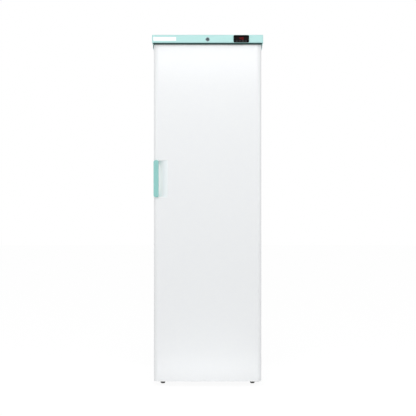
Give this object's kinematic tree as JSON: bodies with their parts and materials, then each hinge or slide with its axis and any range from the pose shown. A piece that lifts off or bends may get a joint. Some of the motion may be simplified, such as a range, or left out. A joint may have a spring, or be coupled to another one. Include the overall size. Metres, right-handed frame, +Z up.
{
  "type": "laboratory refrigerator",
  "caption": "Tall white laboratory refrigerator with one solid door, a mint control fascia with lock and display, a recessed side grip, wire shelves and a rear condenser coil.",
  "frame": {"origin": "on the floor under the middle of the whole object, feet and rollers at Z = 0", "axes": "+Z up, -Y towards the user in front of the door, +X to the user's right, the hinge side"},
  "size_m": [0.595, 0.6672, 1.89],
  "materials": {
    "white_steel": "smooth gloss paint",
    "white_plastic": "smooth",
    "liner_plastic": "smooth",
    "mint_plastic": "smooth satin",
    "foam": "rigid closed-cell foam",
    "zinc_steel": "zinc plated",
    "chrome": "polished",
    "black_plastic": "fine grain",
    "display": "smoked, clear",
    "key_plastic": "satin",
    "gasket_rubber": "soft matt",
    "dark_rubber": "matt",
    "foot_plastic": "fine grain",
    "nylon": "satin",
    "aluminium": "rolled",
    "shelf_wire": "plastic-coated wire",
    "lens": "frosted",
    "compressor_black": "satin paint",
    "coil_black": "satin paint",
    "copper": "drawn copper"
  },
  "bodies": {
    "cabinet": {"outer_wrap": "white_steel", "back_panel": "zinc_steel", "insulation_foam": "foam", "inner_liner": "liner_plastic", "base_plate": "zinc_steel", "roller_brackets": "zinc_steel", "roller_axles": "zinc_steel", "fascia": "mint_plastic", "top_cover": "white_plastic", "controller_case": "black_plastic", "display_window": "display", "lock_barrel": "chrome", "top_hinge_bracket": "zinc_steel", "bottom_hinge_bracket": "zinc_steel", "hinge_pins": "zinc_steel", "cabinet_screws": "zinc_steel", "evaporator_plate": "aluminium", "fan_cover": "white_plastic", "fan_frame": "black_plastic", "light_lens": "lens", "temperature_probe": "white_plastic", "door_switch_body": "white_plastic", "compressor": "compressor_black", "compressor_grommets": "dark_rubber", "relay_cover": "black_plastic", "drip_tray": "white_plastic", "condenser_tube": "coil_black", "condenser_wires": "coil_black", "condenser_spacers": "black_plastic", "suction_pipe": "copper", "discharge_pipe": "copper", "filter_drier": "copper", "mains_gland": "black_plastic", "shelf_1": "shelf_wire", "shelf_2": "shelf_wire", "shelf_3": "shelf_wire", "shelf_4": "shelf_wire", "shelf_5": "shelf_wire"},
    "door": {"door_panel": "white_steel", "door_liner": "liner_plastic", "door_foam": "foam", "door_gasket": "gasket_rubber", "door_top_cap": "white_plastic", "door_bottom_cap": "white_plastic", "door_bushes": "nylon", "handle_cup": "white_plastic", "handle_grip": "mint_plastic", "lock_keeper": "zinc_steel"},
    "lock": {"lock_plug": "chrome", "lock_cam": "zinc_steel"},
    "foot_left": {"front_foot_left": "foot_plastic"},
    "foot_right": {"front_foot_right": "foot_plastic"},
    "wheel_left": {"roller_left": "nylon"},
    "wheel_right": {"roller_right": "nylon"},
    "fan": {"fan_impeller": "black_plastic"},
    "switch": {"door_switch_plunger": "white_plastic"},
    "power_button": {"key_power": "key_plastic"},
    "down_button": {"key_down": "key_plastic"},
    "up_button": {"key_up": "key_plastic"},
    "set_button": {"key_set": "key_plastic"}
  },
  "joints": [
    {"name": "door_swing", "type": "hinge", "parent": "cabinet", "child": "door", "pos_m": [0.268, -0.2784, 0.936], "axis": [0, 0, 1], "range_deg": [0, 110]},
    {"name": "lock_turn", "type": "hinge", "parent": "cabinet", "child": "lock", "pos_m": [0, -0.2457, 1.865], "axis": [0, 1, 0], "range_deg": [0, 90]},
    {"name": "foot_left_turn", "type": "hinge", "parent": "cabinet", "child": "foot_left", "pos_m": [-0.246, -0.1984, 0.03], "axis": [0, 0, 1], "continuous": true},
    {"name": "foot_right_turn", "type": "hinge", "parent": "cabinet", "child": "foot_right", "pos_m": [0.246, -0.1984, 0.03], "axis": [0, 0, 1], "continuous": true},
    {"name": "wheel_left_roll", "type": "hinge", "parent": "cabinet", "child": "wheel_left", "pos_m": [-0.23, 0.2466, 0.02], "axis": [1, 0, 0], "continuous": true},
    {"name": "wheel_right_roll", "type": "hinge", "parent": "cabinet", "child": "wheel_right", "pos_m": [0.23, 0.2466, 0.02], "axis": [1, 0, 0], "continuous": true},
    {"name": "fan_spin", "type": "hinge", "parent": "cabinet", "child": "fan", "pos_m": [0, 0.1951, 1.595], "axis": [0, 1, 0], "continuous": true},
    {"name": "switch_press", "type": "slide", "parent": "cabinet", "child": "switch", "axis": [0, -1, 0], "range_m": [0, 0.004]},
    {"name": "power_press", "type": "slide", "parent": "cabinet", "child": "power_button", "axis": [0, 1, 0], "range_m": [0, 0.0008], "stiffness_N_per_m": 500},
    {"name": "down_press", "type": "slide", "parent": "cabinet", "child": "down_button", "axis": [0, 1, 0], "range_m": [0, 0.0008], "stiffness_N_per_m": 500},
    {"name": "up_press", "type": "slide", "parent": "cabinet", "child": "up_button", "axis": [0, 1, 0], "range_m": [0, 0.0008], "stiffness_N_per_m": 500},
    {"name": "set_press", "type": "slide", "parent": "cabinet", "child": "set_button", "axis": [0, 1, 0], "range_m": [0, 0.0008], "stiffness_N_per_m": 500}
  ],
  "couplings": [
    {"joint": "switch_press", "follows": "door_swing", "m_per_rad": 0.002083}
  ]
}
